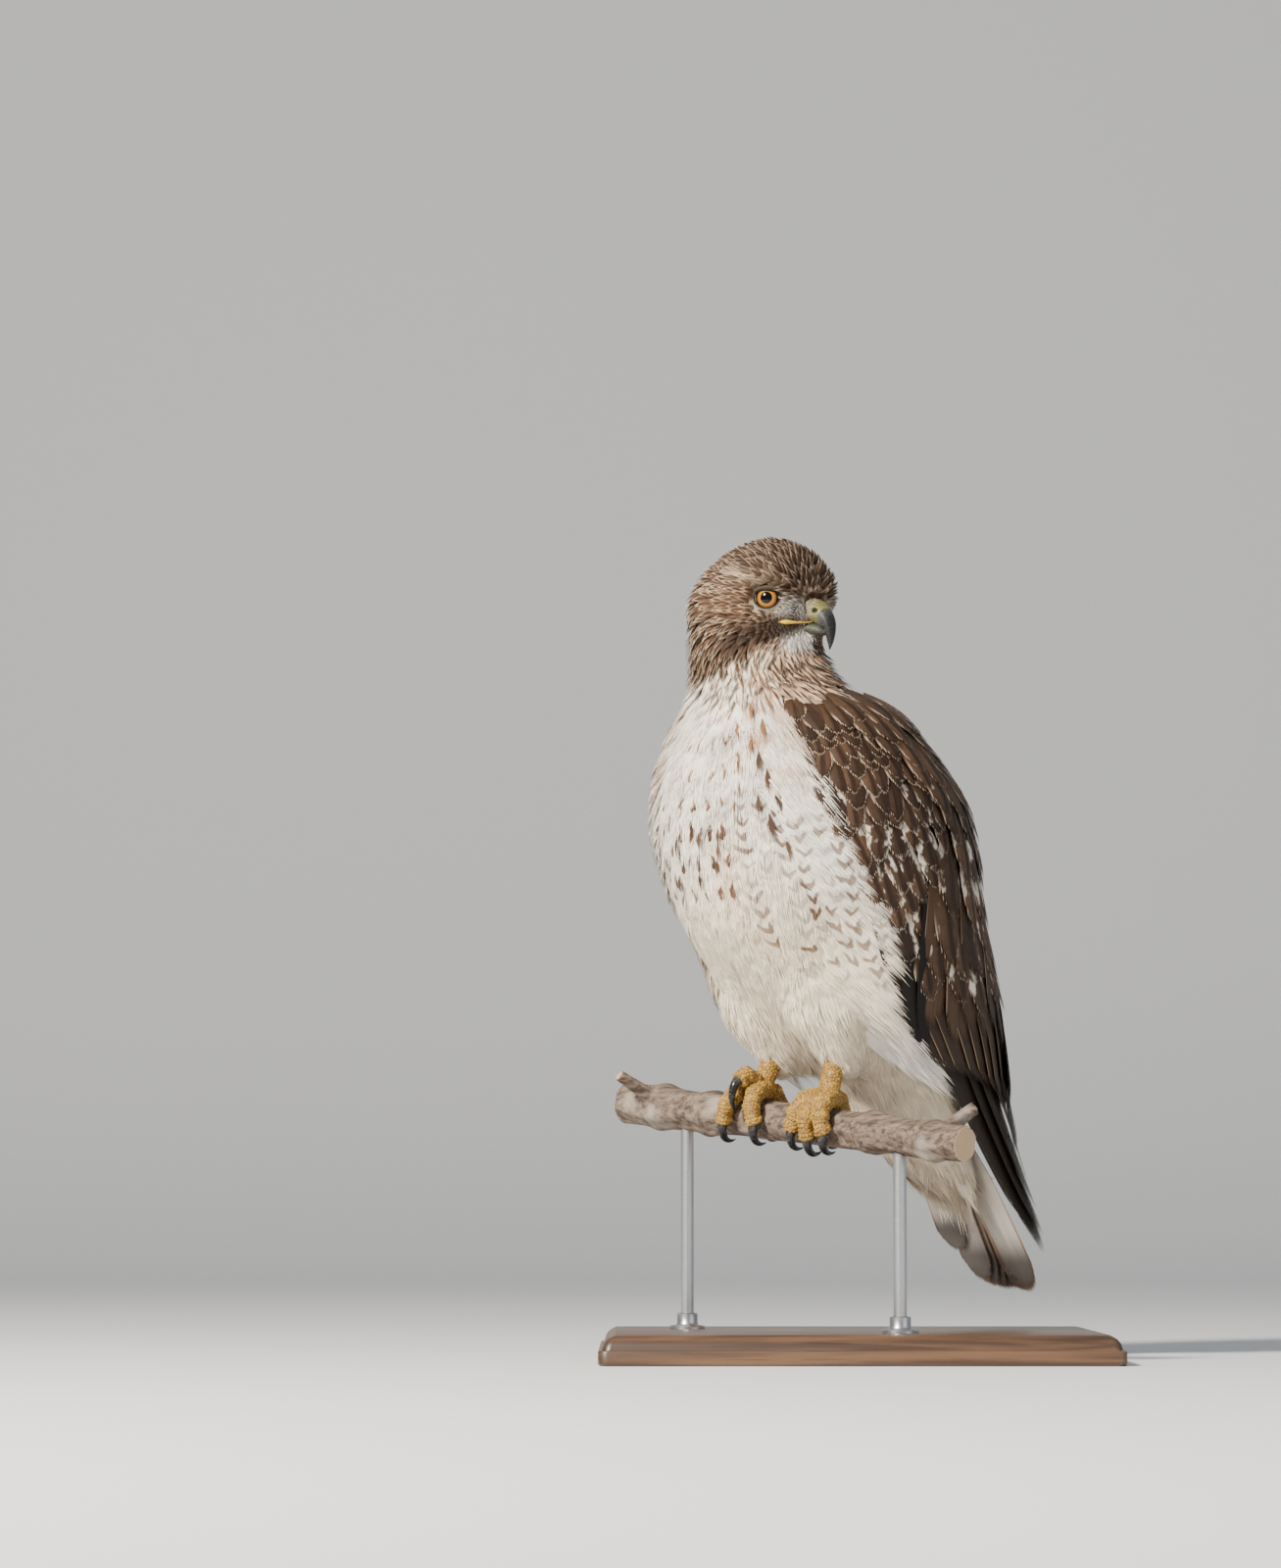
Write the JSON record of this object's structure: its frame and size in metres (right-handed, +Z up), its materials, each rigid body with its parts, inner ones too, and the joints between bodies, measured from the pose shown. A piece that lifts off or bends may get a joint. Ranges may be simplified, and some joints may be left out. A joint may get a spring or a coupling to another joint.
{
  "type": "red-tailed hawk model",
  "caption": "Life-size red-tailed hawk perched on a cut branch, looking back over one shoulder, held up by two rods on a flat wooden base.",
  "frame": {"origin": "centre of the stand base's underside, on the surface that the model stands on", "axes": "+Z up through the bird; +X to the right of a viewer who faces the model as it is shown, so that the tail and wing tips point that way; +Y away from that viewer. The breast points along -X and -Y."},
  "size_m": [0.31, 0.26, 0.4991],
  "materials": {
    "feather_brown": "dark brown back and wing feathers with pale edges and mottling",
    "feather_white": "soft white and buff underside feathers with brown streaks and bars on the belly",
    "feather_red": "brick-red tail feathers with a thin dark band near the tip, pale underneath",
    "head_feather": "narrow pointed brown feathers with tan edges",
    "beak": "horn, blue-grey at the base to black at the tip, satin",
    "cere": "waxy yellow-green skin",
    "eye": "polished, amber iris with a black pupil",
    "foot": "scaly yellow skin",
    "talon": "glossy black horn",
    "bark": "rough grey-brown bark with pale cut ends",
    "stand_wood": "dark stained and waxed",
    "stand_steel": "brushed rod"
  },
  "bodies": {
    "root": {"head": "head_feather", "neck": "head_feather", "torso": "feather_white", "tail": "feather_red", "wing_left": "feather_brown", "wing_right": "feather_brown", "thigh_left": "feather_white", "thigh_right": "feather_white", "foot_left": "foot", "foot_right": "foot", "talon_left_1": "talon", "talon_left_2": "talon", "talon_left_3": "talon", "talon_left_4": "talon", "talon_right_1": "talon", "talon_right_2": "talon", "talon_right_3": "talon", "talon_right_4": "talon", "beak_upper": "beak", "beak_lower": "beak", "cere": "cere", "eye_left": "eye", "eye_right": "eye", "perch": "bark", "stand_base": "stand_wood", "stand_rod_left": "stand_steel", "stand_rod_right": "stand_steel"}
  },
  "joints": []
}
